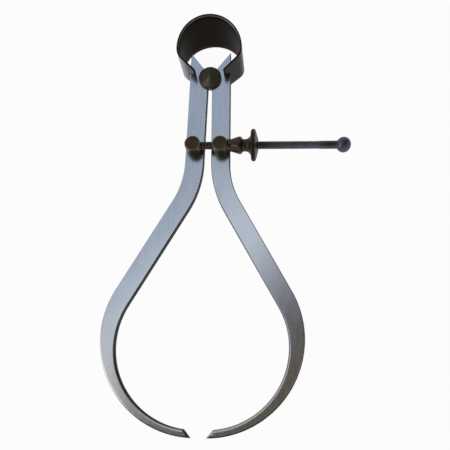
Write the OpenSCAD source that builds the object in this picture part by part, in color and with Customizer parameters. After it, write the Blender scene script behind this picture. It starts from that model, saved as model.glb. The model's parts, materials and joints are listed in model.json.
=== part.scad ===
// Outside spring caliper with flat bowed legs, lying on its back.
// X runs along the adjusting screw, Y from the measuring points to the bow, Z towards the front.
// The origin is on the fulcrum axis, at the flat back of the fulcrum stud. All sizes are in millimetres.

/* [Legs] */
// Distance from the fulcrum to the measuring points
reach = 152.4; // [142:0.1:165]
// Thickness of the flat legs
leg_t = 2.8; // [2.2:0.1:3.6]
// Width of the straight shank
shank_w = 8; // [7:0.1:9]
// Gap between the shanks when the points touch
shank_gap = 1.6; // [0.8:0.1:2.4]
// Slope of the diagonal below the shank, from the centre line
diagonal_angle = 29; // [26:0.5:32]
// Radius of the hollow bend between shank and diagonal
bend_r = 35; // [20:1:42]
// Radius of the belly's outer edge
belly_outer_r = 39.5; // [37.5:0.1:41.5]
// Width of the belly at its widest
belly_w = 6.4; // [5.5:0.1:7.5]
// How far the inner circle's centre lies below the outer circle's, which thins the leg towards its point
belly_drop = 3.2; // [1.5:0.1:3.6]
// Bevel of the measuring points, from the centre line
tip_bevel = 40; // [30:1:55]
// Slope of the crown cut above the fulcrum, from the centre line
crown_angle = 39.3; // [36:0.1:43]
// Height of the crown cut's apex above the fulcrum
crown_rise = 1.1; // [0.5:0.1:2]
// Slope of the relief beside the fulcrum, from the centre line, which lets the legs open
relief_angle = 30; // [29.6:0.1:32]
// Opening between the points as the part lies
tip_gap = 6.3; // [1:0.1:12]
// Gap left between the points when they are closed
closed_gap = 0.1; // [0.05:0.05:0.4]

/* [Fulcrum stud] */
// Diameter of the front head
stud_head_d = 9.7; // [8:0.1:11]
// Diameter of the back head
stud_back_d = 6.2; // [5.6:0.1:9]
// Diameter of the waist that the legs pivot on
stud_waist_d = 4; // [3:0.1:5.5]
// Height of the back head, and of the front head's edge
stud_head_h = 1.1; // [0.9:0.1:2]
// Rise of the front head's shallow cone
stud_crown_h = 0.9; // [0.2:0.1:1.2]
// Bevel on the heads' outer edges
stud_bevel = 0.3; // [0.2:0.05:0.5]

/* [Bow spring] */
// Outside diameter of the ring
bow_d = 27.9; // [26:0.1:30]
// Thickness of the strip
strip_t = 0.95; // [0.7:0.05:1.3]
// Width of the strip at the top of the ring
bow_w_top = 19.2; // [16:0.1:22]
// Width of the strip at its forked ends
bow_w_end = 11.8; // [10:0.1:15]
// Height of the ring's centre above the fulcrum
bow_rise = 9.9; // [9.4:0.1:11.5]
// Radius of the bend where the strip turns in towards the legs, at its middle line
bow_bend_r = 5; // [2:0.1:6]
// Slope of the strip's straight ends, below the X axis
tail_angle = 43; // [40:1:50]
// Length of the prongs that lie along the legs' faces
prong_len = 2.6; // [1.5:0.1:3.2]
// How deep the strip sits in the notch in a leg's edge
spring_seat = 0.5; // [0.3:0.05:0.9]

/* [Posts] */
// Diameter of the swivelling heads
post_d = 6.6; // [5.8:0.1:7.2]
// Height of the heads above the legs
post_h = 5.5; // [5:0.1:7]
// Diameter of the shank that turns in the leg
post_shank_d = 4; // [2.8:0.1:4.4]
// Distance from the fulcrum, along the leg
post_reach = 32.3; // [29:0.1:35]
// Distance from the shank's inner edge to a post's axis
post_inset = 4.3; // [3.6:0.1:4.4]
// Diameter of the riveted back end
rivet_d = 5.4; // [4.8:0.1:6]
// Thickness of the riveted back end
rivet_h = 0.8; // [0.5:0.1:1.2]
// Bevel round the front of the heads
post_bevel = 0.5; // [0.2:0.05:0.8]

/* [Adjusting screw] */
// Outside diameter of the thread
screw_d = 3.2; // [2.7:0.1:3.4]
// Height of the screw's axis above the legs
screw_h = 3; // [2.9:0.1:3.6]
// Distance from the screw post to the ball's centre
screw_len = 62.4; // [50:0.1:72]
// Diameter of the ball
ball_d = 6.1; // [4.5:0.1:7]

/* [Nut and sleeve] */
// Diameter of the sleeve's barrel where it meets the post
sleeve_d = 5; // [4.2:0.1:5.3]
// Diameter of the sleeve's ridge
ridge_d = 6.9; // [5.8:0.1:7.4]
// Length of the sleeve from the post's side to the nut
sleeve_len = 5.9; // [5:0.1:8]
// Width of the sleeve's ridge
ridge_w = 1.6; // [1:0.1:2.6]
// Length over which the barrel swells to the ridge
swell_len = 2.9; // [1:0.1:3.4]
// Length of the nut
nut_len = 6.5; // [6:0.1:9]
// Diameter of the nut's neck
neck_d = 4.8; // [4.4:0.1:5.2]
// Diameter of the nut's flange
flange_d = 12.6; // [10:0.1:14]
// Thickness of the flange's rim
flange_t = 1.9; // [1.5:0.1:2.6]
// Rise of the cone on the flange's far side
cone_len = 1; // [0.5:0.1:2]
// Radius of the hollow between the neck and the flange
flare_r = 2.6; // [1.9:0.1:3]
// Bevel on the flange's edges
rim_bevel = 0.5; // [0.2:0.05:0.6]
// Number of grooves in the knurled rim
knurl_count = 44; // [24:1:60]
// Depth of the grooves in the knurled rim
knurl_depth = 0.28; // [0.1:0.02:0.4]

/* [Clearances] */
// Radial clearance of the pivots
pivot_gap = 0.05; // [0.02:0.01:0.1]
// Clearance between flat faces that slide on each other
face_gap = 0.1; // [0.05:0.01:0.2]
// Radial clearance of the screw in the guide post, sleeve and nut
slide_gap = 0.08; // [0.05:0.01:0.1]
// Clearance between the spring's fork and the leg that it straddles
fork_gap = 0.15; // [0.1:0.01:0.25]
// Clearance of the screw's fixed end in the screw post
press_gap = 0.01; // [0.005:0.005:0.02]

/* [Hidden] */
$fn = 96;
// Steps along each curve of an outline
belly_steps = 60;
bend_steps = 14;
ring_steps = 32;
profile_steps = 10;
steel = "#a3aebb";
dark_oxide = "#3b332b";
screw_steel = "#5a616d";

// Heights
leg_back = stud_head_h + face_gap;
leg_front = leg_back + leg_t;
leg_middle = leg_back + leg_t / 2;
screw_z = leg_front + screw_h;

// Leg outline, for the right leg with the points closed
shank_in = shank_gap / 2;
shank_out = shank_in + shank_w;
belly_inner_r = belly_outer_r - belly_w;
belly_outer_c = [0, belly_outer_r - reach];
belly_inner_c = [0, belly_outer_c.y - belly_drop];
inner_bend_r = bend_r + shank_w;
relief_top = crown_rise / (1 / tan(relief_angle) - 1 / tan(crown_angle));
half_open = asin((tip_gap - closed_gap) / 2 / reach);

// Posts, turned with the legs to where the part lies
post_closed = [shank_in + post_inset, -post_reach];
post_at = turned(post_closed, half_open);

// Bow spring, right half
bow_r = (bow_d - strip_t) / 2;
bow_c = [0, bow_rise];
bow_bend_c = bow_c + [bow_r - bow_bend_r, 0];
tail_turn = 90 - tail_angle;
tail_start = bow_bend_c + bow_bend_r * [cos(tail_turn), -sin(tail_turn)];
tail_dir = [-cos(tail_angle), -sin(tail_angle)];
web_len = (tail_start.x - turned([shank_out, bow_rise / 2], half_open).x + spring_seat) / cos(tail_angle);
tail_end = tail_start + (web_len + prong_len) * tail_dir;

function turned(p, a) = [p.x * cos(a) - p.y * sin(a), p.x * sin(a) + p.y * cos(a)];

function arc(c, r, from, to, steps) =
    [for (i = [0:steps]) c + r * [cos(from + (to - from) * i / steps), sin(from + (to - from) * i / steps)]];

// Where the diagonal that is tangent to a belly circle meets a shank's edge
function corner_y(x, c, r) = (x * cos(diagonal_angle) - r) / -sin(diagonal_angle) + c.y;

// Bend of radius r that is tangent to the shank's edge at x and to the diagonal of a belly circle
function bend(x, c, belly_r, r) =
    let (start_y = corner_y(x, c, belly_r) + r * tan(diagonal_angle / 2))
    arc([x + r, start_y], r, 180, 180 + diagonal_angle, bend_steps);

function reversed(list) = [for (i = [len(list) - 1:-1:0]) list[i]];

function mirrored(list) = [for (p = list) [-p.x, p.y]];

leg_outline = concat(
    [relief_top * [1, 1 / tan(relief_angle)]],
    [[shank_in, shank_in / tan(relief_angle)]],
    bend(shank_in, belly_inner_c, belly_inner_r, inner_bend_r),
    arc(belly_inner_c, belly_inner_r, diagonal_angle, -90, belly_steps),
    arc(belly_outer_c, belly_outer_r, -90, diagonal_angle, belly_steps),
    reversed(bend(shank_out, belly_outer_c, belly_outer_r, bend_r)),
    [[shank_out, crown_rise + shank_out / tan(crown_angle)]]
);

// One edge of the strip's right half, from the top of the ring to the end; side is 1 outside, -1 inside
function strip_edge(side) = concat(
    arc(bow_c, bow_r + side * strip_t / 2, 90, 0, ring_steps),
    arc(bow_bend_c, bow_bend_r + side * strip_t / 2, 0, -tail_turn, bend_steps),
    [tail_end + side * strip_t / 2 * [cos(tail_turn), -sin(tail_turn)]]
);

bow_outline = concat(
    reversed(mirrored(strip_edge(1))),
    strip_edge(1),
    reversed(strip_edge(-1)),
    mirrored(strip_edge(-1))
);

// Revolves a profile of [radius, distance] points about the X axis
module turned_on_x(points) {
    rotate([0, 90, 0])
        rotate_extrude()
            polygon(points);
}

// Along a tail of the strip, from its bend: a bar of the given length, thickness and height
module tail_bar(from, length, thickness, height) {
    translate([tail_start.x, tail_start.y, leg_middle - height / 2])
        rotate(180 + tail_angle)
            translate([from, -thickness / 2, 0])
                cube([length, thickness, height]);
}

// Block that bevels the point of the right leg
module tip_cut() {
    size = 2 * belly_w;
    translate([closed_gap / 2, -reach, -leg_t / 2])
        rotate(-tip_bevel)
            translate([-size, -size / 2, 0])
                cube([size, size, 2 * leg_t]);
}

// The right leg with the points closed, on the XY plane
module closed_leg() {
    difference() {
        linear_extrude(leg_t)
            polygon(leg_outline);
        translate([0, 0, -leg_t / 2]) {
            cylinder(d = stud_waist_d + 2 * pivot_gap, h = 2 * leg_t);
            translate(post_closed)
                cylinder(d = post_shank_d + 2 * pivot_gap, h = 2 * leg_t);
        }
        tip_cut();
    }
}

module leg() {
    difference() {
        translate([0, 0, leg_back])
            rotate(half_open)
                closed_leg();
        tail_bar(0, web_len + fork_gap, strip_t + 2 * fork_gap, 2 * bow_w_top);
    }
}

module right_leg() {
    color(steel)
        leg();
}

module left_leg() {
    color(steel)
        mirror([1, 0, 0])
            leg();
}

// Spool with a small flat back head and a wide front head with a shallow cone
module fulcrum_stud() {
    head_r = stud_head_d / 2;
    back_r = stud_back_d / 2;
    waist_r = stud_waist_d / 2;
    front = leg_front + face_gap;
    color(dark_oxide)
        rotate_extrude()
            polygon([
                [0, 0],
                [back_r - stud_bevel, 0],
                [back_r, stud_bevel],
                [back_r, stud_head_h],
                [waist_r, stud_head_h],
                [waist_r, front],
                [head_r, front],
                [head_r, front + stud_head_h - stud_bevel],
                [head_r - stud_bevel, front + stud_head_h],
                [0, front + stud_head_h + stud_crown_h],
            ]);
}

// Open ring of flat strip, narrowed towards its ends, with a fork at each end
module bow_spring() {
    top_y = bow_rise + bow_d / 2;
    half_top = bow_w_top / 2;
    half_end = bow_w_end / 2;
    color(dark_oxide)
        difference() {
            intersection() {
                translate([0, 0, leg_middle - bow_w_top])
                    linear_extrude(2 * bow_w_top)
                        polygon(bow_outline);
                translate([-bow_d, 0, leg_middle])
                    rotate([90, 0, 90])
                        linear_extrude(2 * bow_d)
                            polygon([
                                [top_y, half_top],
                                [top_y, -half_top],
                                [tail_end.y, -half_end],
                                [tail_end.y - strip_t, -half_end],
                                [tail_end.y - strip_t, half_end],
                                [tail_end.y, half_end],
                            ]);
            }
            for (side = [0, 1])
                mirror([side, 0, 0])
                    tail_bar(web_len, 2 * prong_len, 3 * strip_t, leg_t + 2 * fork_gap);
        }
}

// Turned stud: head with a bevelled front, shank through the leg, riveted back end
module post_blank() {
    head_r = post_d / 2;
    shank_r = post_shank_d / 2;
    head_back = leg_front + face_gap;
    head_front = leg_front + post_h;
    rivet_front = leg_back - face_gap;
    rotate_extrude()
        polygon([
            [0, rivet_front - rivet_h],
            [rivet_d / 2 - rivet_h / 2, rivet_front - rivet_h],
            [rivet_d / 2, rivet_front - rivet_h / 2],
            [rivet_d / 2, rivet_front],
            [shank_r, rivet_front],
            [shank_r, head_back],
            [head_r, head_back],
            [head_r, head_front - post_bevel],
            [head_r - post_bevel, head_front],
            [0, head_front],
        ]);
}

module cross_hole(radius) {
    translate([-post_d, 0, screw_z])
        rotate([0, 90, 0])
            cylinder(r = radius, h = 2 * post_d);
}

module screw_post() {
    color(dark_oxide)
        translate([-post_at.x, post_at.y, 0])
            difference() {
                post_blank();
                cross_hole(screw_d / 2 + press_gap);
            }
}

module guide_post() {
    color(dark_oxide)
        translate([post_at.x, post_at.y, 0])
            difference() {
                post_blank();
                cross_hole(screw_d / 2 + slide_gap);
            }
}

// Rod from the far side of the screw post to the ball turned on its end
module adjusting_screw() {
    rod_start = -sqrt(pow(post_d / 2, 2) - pow(screw_d / 2, 2));
    color(screw_steel)
        translate([-post_at.x, post_at.y, screw_z]) {
            translate([rod_start, 0, 0])
                rotate([0, 90, 0])
                    cylinder(d = screw_d, h = screw_len - rod_start);
            translate([screw_len, 0, 0])
                rotate([0, 90, 0])
                    sphere(d = ball_d);
        }
}

// Barrel that saddles the guide post and swells to a ridge at the nut
module thrust_sleeve() {
    bore_r = screw_d / 2 + slide_gap;
    barrel_r = sleeve_d / 2;
    ridge_r = ridge_d / 2;
    start = post_d / 4;
    end = post_d / 2 + sleeve_len;
    ridge_start = end - ridge_w;
    edge = (ridge_r - barrel_r) / 2;
    color(dark_oxide)
        translate([post_at.x, post_at.y, 0])
            difference() {
                translate([0, 0, screw_z])
                    turned_on_x([
                        [bore_r, start],
                        [barrel_r, start],
                        [barrel_r, ridge_start - swell_len],
                        [ridge_r, ridge_start],
                        [ridge_r, end - edge],
                        [ridge_r - edge, end],
                        [bore_r, end],
                    ]);
                translate([0, 0, leg_back])
                    cylinder(d = post_d + 2 * pivot_gap, h = 2 * (leg_t + post_h));
            }
}

// Nut with a hollowed neck that flares to a thin knurled flange
module knurled_nut() {
    bore_r = screw_d / 2 + slide_gap;
    neck_r = neck_d / 2;
    flange_r = flange_d / 2;
    rim_end = nut_len - cone_len;
    rim_start = rim_end - flange_t;
    flare_c = [neck_r + flare_r, rim_start - flare_r];
    nose_angle = 180 + asin(min(1, flare_c.y / flare_r));
    start = post_d / 2 + sleeve_len + face_gap;
    color(dark_oxide)
        translate([post_at.x + start, post_at.y, screw_z])
            difference() {
                turned_on_x(concat(
                    [[bore_r, 0]],
                    arc(flare_c, flare_r, nose_angle, 90, profile_steps),
                    [
                        [flange_r - rim_bevel, rim_start],
                        [flange_r, rim_start + rim_bevel],
                        [flange_r, rim_end - rim_bevel],
                        [flange_r - rim_bevel, rim_end],
                        [neck_r, nut_len],
                        [bore_r, nut_len],
                    ]
                ));
                for (i = [0:knurl_count - 1])
                    rotate([360 / knurl_count * i, 0, 0])
                        translate([rim_start - rim_bevel, 0, flange_r - knurl_depth])
                            rotate([45, 0, 0])
                                cube([flange_t + 2 * rim_bevel, 2 * knurl_depth, 2 * knurl_depth]);
            }
}

left_leg();
right_leg();
fulcrum_stud();
bow_spring();
screw_post();
guide_post();
adjusting_screw();
thrust_sleeve();
knurled_nut();
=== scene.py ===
"""Looks of the outside spring caliper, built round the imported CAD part."""

import json
import math

import bpy
import bmesh
from mathutils import Matrix, Vector
from mathutils.geometry import tessellate_polygon

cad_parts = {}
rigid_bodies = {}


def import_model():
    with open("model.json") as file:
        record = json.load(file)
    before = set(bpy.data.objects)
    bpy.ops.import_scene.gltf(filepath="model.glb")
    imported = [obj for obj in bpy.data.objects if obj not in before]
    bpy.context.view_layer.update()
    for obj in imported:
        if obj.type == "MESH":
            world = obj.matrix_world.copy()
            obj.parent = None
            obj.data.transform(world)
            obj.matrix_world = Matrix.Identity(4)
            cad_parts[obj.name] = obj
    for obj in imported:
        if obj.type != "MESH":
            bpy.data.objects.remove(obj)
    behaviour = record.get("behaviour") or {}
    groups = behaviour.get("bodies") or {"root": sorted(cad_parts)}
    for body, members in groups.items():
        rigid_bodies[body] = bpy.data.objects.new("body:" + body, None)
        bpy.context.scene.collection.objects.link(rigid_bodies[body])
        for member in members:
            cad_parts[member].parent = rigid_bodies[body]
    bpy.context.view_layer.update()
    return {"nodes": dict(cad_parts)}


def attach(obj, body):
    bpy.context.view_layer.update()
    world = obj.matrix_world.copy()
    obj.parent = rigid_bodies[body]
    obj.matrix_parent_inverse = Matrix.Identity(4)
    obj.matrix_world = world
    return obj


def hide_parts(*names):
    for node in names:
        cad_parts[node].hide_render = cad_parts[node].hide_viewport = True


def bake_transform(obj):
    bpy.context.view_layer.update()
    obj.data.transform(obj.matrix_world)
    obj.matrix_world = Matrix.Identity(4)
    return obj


for old in list(bpy.data.objects):
    bpy.data.objects.remove(old)

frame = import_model()
nodes = frame["nodes"]
MM = 0.001


def turned(x, y, degrees):
    """A point after a turn about the fulcrum's axis."""
    c, s = math.cos(math.radians(degrees)), math.sin(math.radians(degrees))
    return x * c - y * s, x * s + y * c


# Sizes shared with the solids, in millimetres and degrees
REACH, TIP_GAP, CLOSED_GAP = 152.4, 6.3, 0.1
HALF_OPEN = math.degrees(math.asin((TIP_GAP - CLOSED_GAP) / 2 / REACH))
LEG_BACK, LEG_T = 1.2, 2.8
LEG_FRONT = LEG_BACK + LEG_T
LEG_MIDDLE = (LEG_BACK + LEG_FRONT) / 2
SHANK_GAP, SHANK_W = 1.6, 8.0
SHANK_IN = SHANK_GAP / 2
SHANK_OUT = SHANK_IN + SHANK_W
BOW_D, STRIP_T = 27.9, 0.95
BOW_W_TOP, BOW_W_END = 19.2, 11.8
BOW_RISE, BOW_BEND_R = 9.9, 5.0
TAIL_ANGLE, PRONG_LEN, FORK_GAP = 43.0, 2.6, 0.15
SPRING_SEAT = 0.5
POST_D, POST_REACH, POST_INSET = 6.6, 32.3, 4.3
POST = turned(SHANK_IN + POST_INSET, -POST_REACH, HALF_OPEN)
SCREW_D, SCREW_H, SCREW_LEN = 3.2, 3.0, 62.4
SCREW_Z = LEG_FRONT + SCREW_H
BALL_D = 6.1

# Worn edges of the legs
EDGE_SHANK, EDGE_BELLY = 0.4, 1.0
WEAR_FROM, WEAR_TO = -95.0, -138.0
WEAR_STEPS = 5
SHARPEST_MITRE = 0.35
FRONT_TOLERANCE = 0.001
SAME_POINT = 1e-7
FLAT_WEIGHT = 100

# Worn rim of the bow, and the steps that its strip is made in
RIM_WEAR, BOW_BEVEL = 0.3, 0.08
BOW_SHARP_ANGLE = 50
RING_STEPS, BEND_STEPS, WEB_STEPS, PRONG_STEPS = 72, 16, 12, 6
SIDE_COLUMNS, SLOT_COLUMNS = 4, 4

# Thread of the screw, and the steps that it is made in
THREAD_PITCH, THREAD_DEPTH, THREAD_FADE = 0.635, 0.2, 2.0
PLAIN_END, NECK_EASE = 6.0, 0.25
ROWS_PER_PITCH, AROUND, BALL_STEPS = 6, 28, 24

# Where tones change along a piece, in millimetres
WARM_FROM, WARM_TO = -90.0, -145.0
STAIN_FROM, STAIN_TO = 12.0, 38.0
# Painted reflection on the outside of the bow's left end, from where it starts to where it is full
PAINTED_REFLECTION_FROM, PAINTED_REFLECTION_TO = -9.6, -12.0

# Where tones change with the way that a surface faces, as a share of a unit normal
EDGE_STEEP, EDGE_FLAT = 0.4, 0.88
# Painted light on the bevel round a turned head: the facings where it starts, is full, starts to fade and
# ends
RIM_FACING = (0.45, 0.6, 0.82, 0.93)
# Painted reflection on the bow's left end: the way it faces, and where along that it starts and is full
PAINTED_REFLECTION_SIDE = (-0.68, -0.73, 0.0)
PAINTED_REFLECTION_START, PAINTED_REFLECTION_FULL = 0.62, 0.98
# Painted shade on the legs' edges: each side is a direction, and how far an edge has to face it to start to
# darken and to be dark
PAINTED_SHADE_SIDES = [
    ((0.25, -0.97, 0.0), 0.12, 0.40),
    ((0.743, -0.668, 0.0), 0.45, 0.80),
    ((0.90, 0.43, 0.0), 0.22, 0.50),
]
# One more side of painted shade, on the right leg only
PAINTED_SHADE_SIDE_RIGHT = [((-0.92, -0.40, 0.0), 0.30, 0.70)]

# Painted highlight, a wedge of light on a turned face: half its width as a share of a circle, and its gain
SECTOR_HALF, SECTOR_GAIN = 0.11, 2.3

# Noise, relief, sheen and plain tones that the materials share
NOISE_LOW, NOISE_HIGH, NOISE_ROUGHNESS = 0.3, 0.7, 0.55
BUMP_HEIGHT = 0.2 * MM
LATHE_SHEEN = 0.75
BLACK, WHITE = (0, 0, 0), (1, 1, 1)


# Node helpers
def new_material(name):
    mat = bpy.data.materials.new(name)
    mat.use_nodes = True
    return mat, mat.node_tree, mat.node_tree.nodes["Principled BSDF"]


def node(tree, kind, **values):
    made = tree.nodes.new(kind)
    for key, value in values.items():
        setattr(made, key, value)
    return made


def coords_of(tree):
    return node(tree, "ShaderNodeTexCoord").outputs


def noise(tree, scale, detail, stretch=(1, 1, 1)):
    mapping = node(tree, "ShaderNodeMapping")
    mapping.inputs["Scale"].default_value = stretch
    tex = node(tree, "ShaderNodeTexNoise")
    tex.inputs["Scale"].default_value = scale
    tex.inputs["Detail"].default_value = detail
    tex.inputs["Roughness"].default_value = NOISE_ROUGHNESS
    tree.links.new(coords_of(tree)["Object"], mapping.inputs["Vector"])
    tree.links.new(mapping.outputs["Vector"], tex.inputs["Vector"])
    return tex.outputs["Fac"]


def ramp(tree, source, stops):
    made = node(tree, "ShaderNodeValToRGB")
    while len(made.color_ramp.elements) < len(stops):
        made.color_ramp.elements.new(0.5)
    for element, (place, colour) in zip(made.color_ramp.elements, stops):
        element.position = place
        element.color = (*colour, 1)
    tree.links.new(source, made.inputs["Fac"])
    return made.outputs["Color"]


def mottled(tree, source, low, high):
    return ramp(tree, source, [(NOISE_LOW, low), (NOISE_HIGH, high)])


def math_node(tree, operation, a, b=0.5):
    made = node(tree, "ShaderNodeMath", operation=operation)
    for socket, value in zip(made.inputs, (a, b)):
        if isinstance(value, (int, float)):
            socket.default_value = value
        else:
            tree.links.new(value, socket)
    return made.outputs["Value"]


def mix_colour(tree, factor, a, b, blend="MIX"):
    """Mix of two colours: inputs 0, 6 and 7 are the factor and the colours, and output 2 is the mix."""
    made = node(tree, "ShaderNodeMix", data_type="RGBA", blend_type=blend)
    for index, value in ((0, factor), (6, a), (7, b)):
        socket = made.inputs[index]
        if isinstance(value, (int, float)):
            socket.default_value = value
        elif isinstance(value, tuple):
            socket.default_value = (*value, 1)
        else:
            tree.links.new(value, socket)
    return made.outputs[2]


def map_range(tree, source, start=0.0, end=1.0, low=0.0, high=1.0, kind="LINEAR"):
    made = node(tree, "ShaderNodeMapRange", interpolation_type=kind)
    limits = {"From Min": start, "From Max": end, "To Min": low, "To Max": high}
    for name, value in limits.items():
        made.inputs[name].default_value = value
    tree.links.new(source, made.inputs["Value"])
    return made.outputs["Result"]


def part_of(tree, vector, axis):
    made = node(tree, "ShaderNodeSeparateXYZ")
    tree.links.new(vector, made.inputs["Vector"])
    return made.outputs[axis]


def dot(tree, vector, direction):
    made = node(tree, "ShaderNodeVectorMath", operation="DOT_PRODUCT")
    tree.links.new(vector, made.inputs[0])
    made.inputs[1].default_value = direction
    return made.outputs["Value"]


def bump(tree, bsdf, height, strength):
    made = node(tree, "ShaderNodeBump")
    made.inputs["Strength"].default_value = strength
    made.inputs["Distance"].default_value = BUMP_HEIGHT
    tree.links.new(height, made.inputs["Height"])
    tree.links.new(made.outputs["Normal"], bsdf.inputs["Normal"])


# Materials
def leg_steel(name, sides):
    """Satin ground flats, warmer towards the point, with darker side walls and rounded edges, and painted
    shade on the edges that face the given sides.

    Each side of painted shade is a direction, and how far an edge has to face it to start to darken and to
    be dark.
    """
    mat, tree, bsdf = new_material(name)
    coords = coords_of(tree)
    grain = noise(tree, scale=900.0, detail=3.0, stretch=(1.0, 0.12, 1.0))
    cloud = noise(tree, scale=45.0, detail=4.0)
    cool = mottled(tree, cloud, (0.60, 0.635, 0.685), (0.66, 0.69, 0.735))
    warm = mottled(tree, cloud, (0.60, 0.575, 0.545), (0.66, 0.635, 0.605))
    along = part_of(tree, coords["Object"], "Y")
    warmth = map_range(tree, along, WARM_FROM * MM, WARM_TO * MM, kind="SMOOTHSTEP")
    fine = mottled(tree, grain, (0.90, 0.90, 0.91), WHITE)
    face = mix_colour(tree, 1.0, mix_colour(tree, warmth, cool, warm), fine, "MULTIPLY")

    flat = math_node(tree, "ABSOLUTE", part_of(tree, coords["Normal"], "Z"))
    edge = ramp(tree, flat, [(EDGE_STEEP, WHITE), (EDGE_FLAT, BLACK)])
    # Painted shade: darker where an edge faces each given side
    for direction, start, full in sides:
        scale = ramp(tree, dot(tree, coords["Normal"], direction), [(start, BLACK), (full, WHITE)])
        edge = mix_colour(tree, 1.0, edge, scale, "LIGHTEN")
    dark = mottled(tree, cloud, (0.012, 0.012, 0.013), (0.026, 0.025, 0.025))

    tree.links.new(mix_colour(tree, edge, face, dark), bsdf.inputs["Base Color"])
    tree.links.new(map_range(tree, edge, low=1.0, high=0.1), bsdf.inputs["Metallic"])
    face_rough = map_range(tree, grain, low=0.20, high=0.27)
    edge_rough = map_range(tree, edge, high=0.3)
    tree.links.new(math_node(tree, "ADD", face_rough, edge_rough), bsdf.inputs["Roughness"])
    bsdf.inputs["Specular IOR Level"].default_value = 0.2
    bump(tree, bsdf, grain, strength=0.015)
    return mat


def gain(colour, factor):
    return tuple(factor * value for value in colour)


def sector_tone(tree, colour, bright, turn):
    """Painted highlight: a wedge of light on a turned face, at a turn about Z that is a share of a circle.
    """
    wedge = node(tree, "ShaderNodeTexGradient", gradient_type="RADIAL")
    tree.links.new(coords_of(tree)["Object"], wedge.inputs["Vector"])
    stops = [(turn - SECTOR_HALF, BLACK), (turn, WHITE), (turn + SECTOR_HALF, BLACK)]
    return mix_colour(tree, ramp(tree, wedge.outputs["Fac"], stops), colour, bright)


def painted_rim_tone(tree, colour, rim):
    """Painted light on the bevel round a head that is turned about Z: a painted highlight where the gain is
    above one, and painted shade where it is below.
    """
    facing = part_of(tree, coords_of(tree)["Normal"], "Z")
    stops = list(zip(RIM_FACING, (BLACK, WHITE, WHITE, BLACK)))
    return mix_colour(tree, ramp(tree, facing, stops), colour, rim)


def stain_tone(tree, colour, stain):
    """Brown stain on the screw near the nut, which fades towards the ball."""
    along = part_of(tree, coords_of(tree)["Object"], "X")
    return mix_colour(tree, map_range(tree, along, STAIN_FROM * MM, STAIN_TO * MM), stain, colour)


def painted_reflection_tone(tree, colour, painted_reflection):
    """Painted reflection: a pale patch on the outside of the bow's left end, lighter as it faces left and
    outwards.
    """
    coords = coords_of(tree)
    facing = dot(tree, coords["Normal"], PAINTED_REFLECTION_SIDE)
    side = ramp(tree, facing, [(PAINTED_REFLECTION_START, BLACK), (PAINTED_REFLECTION_FULL, WHITE)])
    outer = map_range(tree, part_of(tree, coords["Object"], "X"), PAINTED_REFLECTION_FROM * MM, PAINTED_REFLECTION_TO * MM)
    return mix_colour(tree, mix_colour(tree, 1.0, side, outer, "MULTIPLY"), colour, painted_reflection)


def dark_oxide(name, low, high, rough=(0.30, 0.45), metallic=0.9, specular=0.5, tint=WHITE,
               lathe=None, sector=None, rim=None, stain=None, painted_reflection=None):
    """Oxide-blackened steel; lathe is the axis that a turned piece was cut about."""
    mat, tree, bsdf = new_material(name)
    bsdf.inputs["Metallic"].default_value = metallic
    bsdf.inputs["Specular IOR Level"].default_value = specular
    bsdf.inputs["Specular Tint"].default_value = (*tint, 1)
    cloud = noise(tree, scale=160.0, detail=5.0)
    fine = noise(tree, scale=1500.0, detail=2.0)
    colour = mottled(tree, cloud, low, high)
    # Painted highlight on a turned face
    if sector:
        colour = sector_tone(tree, colour, gain(high, SECTOR_GAIN), sector)
    # Painted light on a turned head's bevel
    if rim:
        colour = painted_rim_tone(tree, colour, gain(high, rim))
    if stain:
        colour = stain_tone(tree, colour, stain)
    if painted_reflection:
        colour = painted_reflection_tone(tree, colour, painted_reflection)
    tree.links.new(colour, bsdf.inputs["Base Color"])
    tree.links.new(map_range(tree, fine, low=rough[0], high=rough[1]), bsdf.inputs["Roughness"])
    bump(tree, bsdf, fine, strength=0.08)
    if lathe:
        rings = node(tree, "ShaderNodeTangent", direction_type="RADIAL", axis=lathe)
        tree.links.new(rings.outputs["Tangent"], bsdf.inputs["Tangent"])
        bsdf.inputs["Anisotropic"].default_value = LATHE_SHEEN
    return mat


# Two copies of the leg steel: the right one holds one more side of painted shade
leg_mats = {
    "left_leg": leg_steel("satin_steel_left", PAINTED_SHADE_SIDES),
    "right_leg": leg_steel("satin_steel_right", PAINTED_SHADE_SIDES + PAINTED_SHADE_SIDE_RIGHT),
}
# The stud: a painted highlight wedge, and a rim darkened as painted shade
stud_mat = dark_oxide("brown_oxide", (0.047, 0.039, 0.026), (0.084, 0.071, 0.050),
                      rough=(0.38, 0.46), lathe="Z", sector=0.18, rim=0.5)
# The posts: a rim lightened as a painted highlight
post_mat = dark_oxide("olive_oxide", (0.043, 0.034, 0.019), (0.074, 0.060, 0.034),
                      lathe="Z", rim=1.5)
sleeve_mat = dark_oxide("bronze_oxide", (0.042, 0.032, 0.020), (0.073, 0.057, 0.038),
                        rough=(0.18, 0.25), lathe="X")
nut_mat = dark_oxide("umber_oxide", (0.038, 0.028, 0.018), (0.066, 0.050, 0.034),
                     rough=(0.30, 0.42), lathe="X")
screw_mat = dark_oxide("blued_steel", (0.056, 0.059, 0.073), (0.094, 0.100, 0.120),
                       rough=(0.28, 0.42), lathe="X", stain=(0.048, 0.039, 0.027))
# The bow's outside, with a painted reflection on its left end
bow_out = dark_oxide("spring_steel_blue", (0.014, 0.010, 0.008), (0.022, 0.019, 0.018),
                     rough=(0.20, 0.28), metallic=0.0, specular=0.11, painted_reflection=(0.36, 0.36, 0.43))
bow_in = dark_oxide("spring_steel_dark", (0.008, 0.0055, 0.0035), (0.015, 0.011, 0.0075),
                    rough=(0.38, 0.5), metallic=0.0, specular=0.05, tint=(1.0, 0.86, 0.74))
bow_cut = dark_oxide("spring_steel_cut", (0.006, 0.005, 0.004), (0.012, 0.010, 0.008),
                     rough=(0.45, 0.6), metallic=0.0, specular=0.1)
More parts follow.
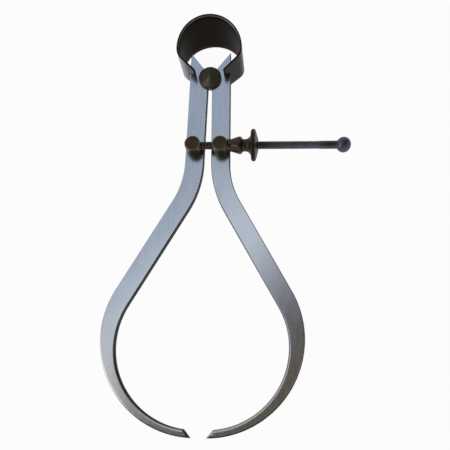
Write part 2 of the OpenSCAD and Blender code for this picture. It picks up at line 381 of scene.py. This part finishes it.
# Lighter front rim of the bow: partly bare metal where it is worn, partly a painted highlight along the
# bevel
bow_wear_and_highlight = dark_oxide("spring_steel_wear_and_highlight", (0.13, 0.115, 0.095), (0.20, 0.18, 0.15),
                      rough=(0.30, 0.42))

for name, mat in (
    ("fulcrum_stud", stud_mat),
    ("screw_post", post_mat),
    ("guide_post", post_mat),
    ("thrust_sleeve", sleeve_mat),
    ("knurled_nut", nut_mat),
):
    nodes[name].data.materials.clear()
    nodes[name].data.materials.append(mat)


def mesh_object(name, verts, faces, mat):
    """Smooth mesh with its faces turned outwards."""
    data = bpy.data.meshes.new(name)
    data.from_pydata([tuple(v) for v in verts], [], faces)
    data.update()
    bm = bmesh.new()
    bm.from_mesh(data)
    bmesh.ops.recalc_face_normals(bm, faces=bm.faces)
    bm.to_mesh(data)
    bm.free()
    for poly in data.polygons:
        poly.use_smooth = True
    made = bpy.data.objects.new(name, data)
    bpy.context.scene.collection.objects.link(made)
    data.materials.append(mat)
    return made


# Bow spring: two halves of the strip, which stand in for the CAD bow
OUTSIDE, INSIDE, CUT, WORN_AND_LIT = range(4)


def bow_path():
    """Middle line of the strip's right half, from the top to the prong's end, with its outward normal."""
    bow_r = (BOW_D - STRIP_T) / 2
    path = []
    for i in range(RING_STEPS + 1):
        a = math.radians(90 - 90 * i / RING_STEPS)
        c, s = math.cos(a), math.sin(a)
        path.append((bow_r * c, BOW_RISE + bow_r * s, c, s))
    for i in range(1, BEND_STEPS + 1):
        a = math.radians((TAIL_ANGLE - 90) * i / BEND_STEPS)
        c, s = math.cos(a), math.sin(a)
        path.append((bow_r - BOW_BEND_R + BOW_BEND_R * c, BOW_RISE + BOW_BEND_R * s, c, s))
    sx, sy, nx, ny = path[-1]
    dx, dy = -math.cos(math.radians(TAIL_ANGLE)), -math.sin(math.radians(TAIL_ANGLE))
    edge_x = turned(SHANK_OUT, BOW_RISE / 2, HALF_OPEN)[0]
    web = (sx - edge_x + SPRING_SEAT) / math.cos(math.radians(TAIL_ANGLE))
    lengths = [web * i / WEB_STEPS for i in range(1, WEB_STEPS + 1)]
    root = len(path) + WEB_STEPS - 1
    lengths += [web + PRONG_LEN * i / PRONG_STEPS for i in range(1, PRONG_STEPS + 1)]
    path += [(sx + dx * u, sy + dy * u, nx, ny) for u in lengths]
    return path, root


def spread(start, end, steps):
    return [start + (end - start) * j / steps for j in range(steps)]


def bow_half(name, side):
    """Half of the strip, with a forked end and a worn rim; side is 1 on the right and -1 on the left."""
    path, root = bow_path()
    top_y = BOW_RISE + BOW_D / 2
    end_y = path[-1][1]
    half_slot = LEG_T / 2 + FORK_GAP
    rows, columns = len(path), 2 * SIDE_COLUMNS + SLOT_COLUMNS + 1
    verts, faces, kinds = [], [], []
    outer, inner, rim = {}, {}, {}

    def add(store, i, j, z, depth):
        x, y, nx, ny = path[i]
        store[(i, j)] = len(verts)
        verts.append((side * (x + nx * depth) * MM, (y + ny * depth) * MM, (LEG_MIDDLE + z) * MM))

    for i in range(rows):
        share = min(1, (path[i][1] - end_y) / (top_y - end_y))
        w = (BOW_W_END + (BOW_W_TOP - BOW_W_END) * share) / 2
        across = spread(-w, -half_slot, SIDE_COLUMNS) + spread(-half_slot, half_slot, SLOT_COLUMNS)
        across += spread(half_slot, w, SIDE_COLUMNS) + [w]
        for j, z in enumerate(across):
            at_rim = j in (0, columns - 1)
            add(outer, i, j, z, STRIP_T / 2)
            add(inner, i, j, z - math.copysign(RIM_WEAR, z) if at_rim else z, -STRIP_T / 2)
            if at_rim:
                add(rim, i, j, z, RIM_WEAR - STRIP_T / 2)

    def face(kind, *corners):
        faces.append(list(corners))
        kinds.append(kind)

    def filled(i, j):
        in_slot = i >= root and SIDE_COLUMNS <= j < SIDE_COLUMNS + SLOT_COLUMNS
        return 0 <= i < rows - 1 and 0 <= j < columns - 1 and not in_slot

    for i in range(rows - 1):
        for j in range(columns - 1):
            if filled(i, j):
                cell = ((i, j), (i + 1, j), (i + 1, j + 1), (i, j + 1))
                face(OUTSIDE, *(outer[c] for c in cell))
                face(INSIDE, *(inner[c] for c in cell))
        for j in range(columns):
            a, b = (i, j), (i + 1, j)
            if j in (0, columns - 1):
                face(CUT, outer[a], outer[b], rim[b], rim[a])
                # The front rim takes the lighter worn metal with its painted highlight
                face(WORN_AND_LIT if j else CUT, rim[a], rim[b], inner[b], inner[a])
            elif filled(i, j) != filled(i, j - 1):
                face(CUT, outer[a], outer[b], inner[b], inner[a])
    for i in range(1, rows):
        for j in range(columns - 1):
            if filled(i, j) != filled(i - 1, j):
                a, b = (i, j), (i, j + 1)
                inwards = [store[b] for store in (rim, inner) if b in store]
                outwards = [store[a] for store in (inner, rim) if a in store]
                face(CUT, outer[a], outer[b], *inwards, *outwards)

    used = sorted({v for f in faces for v in f})
    place = {old: new for new, old in enumerate(used)}
    made = mesh_object(name, [verts[v] for v in used], [[place[v] for v in f] for f in faces], bow_out)
    for mat in (bow_in, bow_cut, bow_wear_and_highlight):
        made.data.materials.append(mat)
    for poly, kind in zip(made.data.polygons, kinds):
        poly.material_index = kind
    return made


bow_right = bow_half("bow_right", 1)
bow_left = bow_half("bow_left", -1)
for piece, leg in ((bow_right, "right_leg"), (bow_left, "left_leg")):
    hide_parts("bow_spring")
    bevel = piece.modifiers.new("edge", "BEVEL")
    bevel.width = BOW_BEVEL * MM
    bevel.segments = 2
    bevel.limit_method = "ANGLE"
    bevel.angle_limit = math.radians(BOW_SHARP_ANGLE)
    bevel.harden_normals = True
    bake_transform(piece)


# Adjusting screw: threaded rod with a turned ball
def screw_profile():
    """Places along the screw, each with its radius and the share of the thread that is cut there."""
    screw_r, ball_r = SCREW_D / 2, BALL_D / 2
    start = -math.sqrt((POST_D / 2) ** 2 - screw_r ** 2)
    neck = SCREW_LEN - math.sqrt(ball_r ** 2 - screw_r ** 2)
    thread_end = neck - PLAIN_END
    count = int((thread_end - start) / THREAD_PITCH * ROWS_PER_PITCH)
    rows = []
    for i in range(count + 1):
        x = start + (thread_end - start) * i / count
        rows.append((x, screw_r, max(0.0, min(1.0, (thread_end - x) / THREAD_FADE))))
    rows += [(thread_end + NECK_EASE, screw_r, 0.0), (neck - NECK_EASE, screw_r, 0.0)]
    neck_angle = math.pi - math.asin(screw_r / ball_r)
    for i in range(BALL_STEPS):
        a = neck_angle * (1 - i / BALL_STEPS)
        rows.append((SCREW_LEN + ball_r * math.cos(a), ball_r * math.sin(a), 0.0))
    return rows


def screw():
    """Rings of points along the profile, with the thread cut as a sloping wave."""
    rows = screw_profile()
    verts, faces = [], []
    for x, radius, cut in rows:
        for k in range(AROUND):
            angle = 2 * math.pi * k / AROUND
            phase = (x / THREAD_PITCH - k / AROUND) % 1.0
            r = radius - THREAD_DEPTH * abs(2 * phase - 1) * cut
            verts.append((x, r * math.cos(angle), r * math.sin(angle)))
    for i in range(len(rows) - 1):
        for k in range(AROUND):
            m = (k + 1) % AROUND
            low, high = i * AROUND, (i + 1) * AROUND
            faces.append([low + k, low + m, high + m, high + k])
    verts.append((SCREW_LEN + BALL_D / 2, 0, 0))
    last = (len(rows) - 1) * AROUND
    for k in range(AROUND):
        faces.append([last + k, last + (k + 1) % AROUND, len(verts) - 1])
    faces.append(list(range(AROUND))[::-1])
    placed = [((x - POST[0]) * MM, (POST[1] + y) * MM, (SCREW_Z + z) * MM) for x, y, z in verts]
    return mesh_object("adjusting_screw_threaded", placed, faces, screw_mat)


rod = screw()
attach(rod, "screw")
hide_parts("adjusting_screw")


# Legs: the CAD outline with worn edges, crisp on the shank and well rounded towards the points
def front_loops(name):
    """Outlines of a CAD leg's front face, as lists of points in millimetres with the steel on their left."""
    bm = bmesh.new()
    bm.from_mesh(nodes[name].data)
    bmesh.ops.remove_doubles(bm, verts=bm.verts, dist=SAME_POINT)

    def in_front(vert):
        return abs(vert.co.z / MM - LEG_FRONT) < FRONT_TOLERANCE

    front = {f for f in bm.faces if all(in_front(v) for v in f.verts)}
    after = {}
    for f in front:
        turn = 1 if f.normal.z > 0 else -1
        ring = list(f.verts)[::turn]
        for a, b in zip(ring, ring[1:] + ring[:1]):
            shared = bm.edges.get((a, b))
            if sum(other in front for other in shared.link_faces) == 1:
                after[a] = b
    loops = []
    while after:
        start, at = after.popitem()
        loop = [start.co.xy / MM]
        while at is not start:
            loop.append(at.co.xy / MM)
            at = after.pop(at)
        loops.append(loop)
    bm.free()
    return sorted(loops, key=len, reverse=True)


def edge_wear(point):
    """Radius of the worn edge at a place along the leg."""
    along = min(1.0, max(0.0, (WEAR_FROM - point.y) / (WEAR_FROM - WEAR_TO)))
    return EDGE_SHANK + (EDGE_BELLY - EDGE_SHANK) * along * along * (3 - 2 * along)


def inward(loop):
    """For each point of a loop, the step into the steel that moves both its edges by one."""
    steps = []
    for before, here, then in zip(loop[-1:] + loop[:-1], loop, loop[1:] + loop[:1]):
        d0, d1 = (here - before).normalized(), (then - here).normalized()
        n0, n1 = Vector((-d0.y, d0.x)), Vector((-d1.y, d1.x))
        steps.append((n0 + n1) / max(SHARPEST_MITRE, 1 + n0.dot(n1)))
    return steps


def worn_leg(name):
    """Leg with the CAD outline, both of whose faces roll off into its edge."""
    verts, faces = [], []
    caps = {1: [], -1: []}
    for loop in front_loops(name):
        into = inward(loop)
        rows = []
        for side in (1, -1):
            for i in range(WEAR_STEPS + 1)[::side]:
                a = math.pi / 2 * i / WEAR_STEPS
                row = []
                for point, step in zip(loop, into):
                    r = edge_wear(point)
                    place = point + step * r * (1 - math.sin(a))
                    z = LEG_MIDDLE + side * (LEG_T / 2 - r * (1 - math.cos(a)))
                    row.append(len(verts))
                    verts.append(Vector((place.x, place.y, z)) * MM)
                rows.append(row)
        count = len(loop)
        for low, high in zip(rows, rows[1:]):
            for k in range(count):
                m = (k + 1) % count
                faces.append([low[k], low[m], high[m], high[k]])
        caps[1].append(rows[0])
        caps[-1].append(rows[-1])
    for rings in caps.values():
        flat = [v for ring in rings for v in ring]
        for tri in tessellate_polygon([[verts[v] for v in ring] for ring in rings]):
            faces.append([flat[v] for v in tri])
    made = mesh_object(name + "_worn", verts, faces, leg_mats[name])
    made.modifiers.new("flats", "WEIGHTED_NORMAL").weight = FLAT_WEIGHT
    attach(made, name)
    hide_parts(name)


worn_leg("left_leg")
worn_leg("right_leg")


# Floor: the plane that the bow's back edge and the points rest on, with half its width in metres
FLOOR_HALF = 6.0
FLOOR_GREY = 0.82
FLOOR_GLOW = 0.96


def floor():
    bow_low = Vector((0, (BOW_RISE + BOW_D / 2) * MM, (LEG_MIDDLE - BOW_W_TOP / 2) * MM))
    points = Vector((0, -REACH * MM, LEG_BACK * MM))
    along = (bow_low - points).normalized() * FLOOR_HALF
    across = Vector((FLOOR_HALF, 0, 0))
    centre = (bow_low + points) / 2
    verts = [centre + across * a + along * b for a, b in ((-1, -1), (1, -1), (1, 1), (-1, 1))]
    data = bpy.data.meshes.new("floor")
    data.from_pydata([tuple(v) for v in verts], [], [[0, 1, 2, 3]])
    made = bpy.data.objects.new("floor", data)
    bpy.context.scene.collection.objects.link(made)
    mat = bpy.data.materials.new("pale_floor")
    mat.use_nodes = True
    tree = mat.node_tree
    tree.nodes.clear()
    out = node(tree, "ShaderNodeOutputMaterial")
    diffuse = node(tree, "ShaderNodeBsdfDiffuse")
    diffuse.inputs["Color"].default_value = (FLOOR_GREY, FLOOR_GREY, FLOOR_GREY, 1)
    glow = node(tree, "ShaderNodeEmission")
    glow.inputs["Color"].default_value = (*WHITE, 1)
    glow.inputs["Strength"].default_value = 1.0
    path = node(tree, "ShaderNodeLightPath").outputs
    seen = math_node(tree, "MAXIMUM", path["Is Camera Ray"], path["Is Transmission Ray"])
    seen = math_node(tree, "MAXIMUM", seen, path["Is Glossy Ray"])
    blend = node(tree, "ShaderNodeMixShader")
    tree.links.new(math_node(tree, "MULTIPLY", seen, FLOOR_GLOW), blend.inputs["Fac"])
    tree.links.new(diffuse.outputs["BSDF"], blend.inputs[1])
    tree.links.new(glow.outputs["Emission"], blend.inputs[2])
    tree.links.new(blend.outputs["Shader"], out.inputs["Surface"])
    data.materials.append(mat)


floor()


# World: a soft room with a bright strip overhead, toned by the slope of a direction across the room
ROOM_ACROSS, ROOM_ALONG = (-0.676, 0.742, 0.0), (0.742, 0.676, 0.0)
ROOM_EDGE = 2.5
LEAST_HEIGHT = 0.05
STRIP_END = (0.26, 0.40)
HORIZON = (0.08, 0.22)
DUSK = [
    (-2.50, (0.80, 0.81, 0.83)),
    (-1.10, (0.55, 0.55, 0.56)),
    (-0.45, (0.15, 0.130, 0.095)),
    (-0.12, (0.17, 0.145, 0.100)),
    (0.02, (0.085, 0.068, 0.045)),
    (0.14, (0.080, 0.064, 0.058)),
]
STRIP = [
    (0.205, (0.55, 0.57, 0.68)),
    (0.255, (1.27, 1.34, 1.41)),
    (0.33, (1.22, 1.29, 1.36)),
]
WALL = [
    (0.385, (0.37, 0.41, 0.47)),
    (0.49, (0.48, 0.55, 0.645)),
    (0.56, (0.43, 0.51, 0.61)),
    (1.10, (0.44, 0.50, 0.59)),
    (2.50, (0.80, 0.83, 0.88)),
]


def world():
    made = bpy.data.worlds.new("room")
    bpy.context.scene.world = made
    made.use_nodes = True
    tree = made.node_tree
    tree.nodes.clear()
    out = node(tree, "ShaderNodeOutputWorld")
    room = node(tree, "ShaderNodeBackground")
    white = node(tree, "ShaderNodeBackground")
    white.inputs["Color"].default_value = (*WHITE, 1)
    white.inputs["Strength"].default_value = 1.0
    direction = coords_of(tree)["Generated"]
    rise = part_of(tree, direction, "Z")
    height = math_node(tree, "MAXIMUM", rise, LEAST_HEIGHT)
    slope = math_node(tree, "DIVIDE", dot(tree, direction, ROOM_ACROSS), height)
    place = map_range(tree, slope, -ROOM_EDGE, ROOM_EDGE)

    def tones(stops):
        return ramp(tree, place, [((at + ROOM_EDGE) / (2 * ROOM_EDGE), value) for at, value in stops])

    reach = math_node(tree, "DIVIDE", dot(tree, direction, ROOM_ALONG), height)
    past_end = map_range(tree, reach, *STRIP_END, kind="SMOOTHSTEP")
    colour = mix_colour(tree, past_end, tones(DUSK + STRIP + WALL), tones(DUSK + WALL))
    tree.links.new(colour, room.inputs["Color"])
    room.inputs["Strength"].default_value = 1.0
    path = node(tree, "ShaderNodeLightPath").outputs
    seen = math_node(tree, "MAXIMUM", path["Is Camera Ray"], path["Is Transmission Ray"])
    low = ramp(tree, rise, list(zip(HORIZON, (WHITE, BLACK))))
    mirrored = math_node(tree, "MULTIPLY", path["Is Glossy Ray"], low)
    blend = node(tree, "ShaderNodeMixShader")
    tree.links.new(math_node(tree, "MAXIMUM", seen, mirrored), blend.inputs["Fac"])
    tree.links.new(room.outputs["Background"], blend.inputs[1])
    tree.links.new(white.outputs["Background"], blend.inputs[2])
    tree.links.new(blend.outputs["Shader"], out.inputs["Surface"])


world()


# Lamp: a weak fill from the left, in metres and watts
FILL_PLACE, FILL_TARGET = Vector((-0.7, -0.35, 0.30)), Vector((0, -0.05, 0))
FILL_SIZE, FILL_POWER = 0.6, 1.3


def fill_lamp():
    data = bpy.data.lights.new("fill", "AREA")
    data.size = FILL_SIZE
    data.energy = FILL_POWER
    made = bpy.data.objects.new("fill", data)
    made.location = FILL_PLACE
    made.rotation_mode = "QUATERNION"
    made.rotation_quaternion = (FILL_TARGET - FILL_PLACE).to_track_quat("-Z", "Y")
    bpy.context.scene.collection.objects.link(made)


fill_lamp()


# Camera at the photo's viewing angle, in millimetres, degrees and pixels of the photo
CAMERA_PLACE = Vector((31.164, -128.923, 188.706))
CAMERA_PITCH, CAMERA_YAW, CAMERA_ROLL = 6.889, 3.297, 0.869
CAMERA_SHIFT = (-0.06, 0.22)
FOCAL_PIXELS, FRAME_PIXELS = 463.0, 450.0
SENSOR_WIDTH = 36.0


def camera():
    data = bpy.data.cameras.new("camera")
    data.sensor_width = SENSOR_WIDTH
    data.lens = FOCAL_PIXELS / FRAME_PIXELS * SENSOR_WIDTH
    data.shift_x, data.shift_y = CAMERA_SHIFT
    data.clip_start, data.clip_end = 0.005, 50.0
    made = bpy.data.objects.new("camera", data)
    turn = Matrix.Identity(4)
    for angle, axis in ((CAMERA_PITCH, "X"), (CAMERA_YAW, "Y"), (CAMERA_ROLL, "Z")):
        turn = turn @ Matrix.Rotation(math.radians(angle), 4, axis)
    made.matrix_world = Matrix.Translation(CAMERA_PLACE * MM) @ turn
    bpy.context.scene.collection.objects.link(made)
    bpy.context.scene.camera = made


camera()

bpy.context.scene.view_settings.view_transform = "Standard"
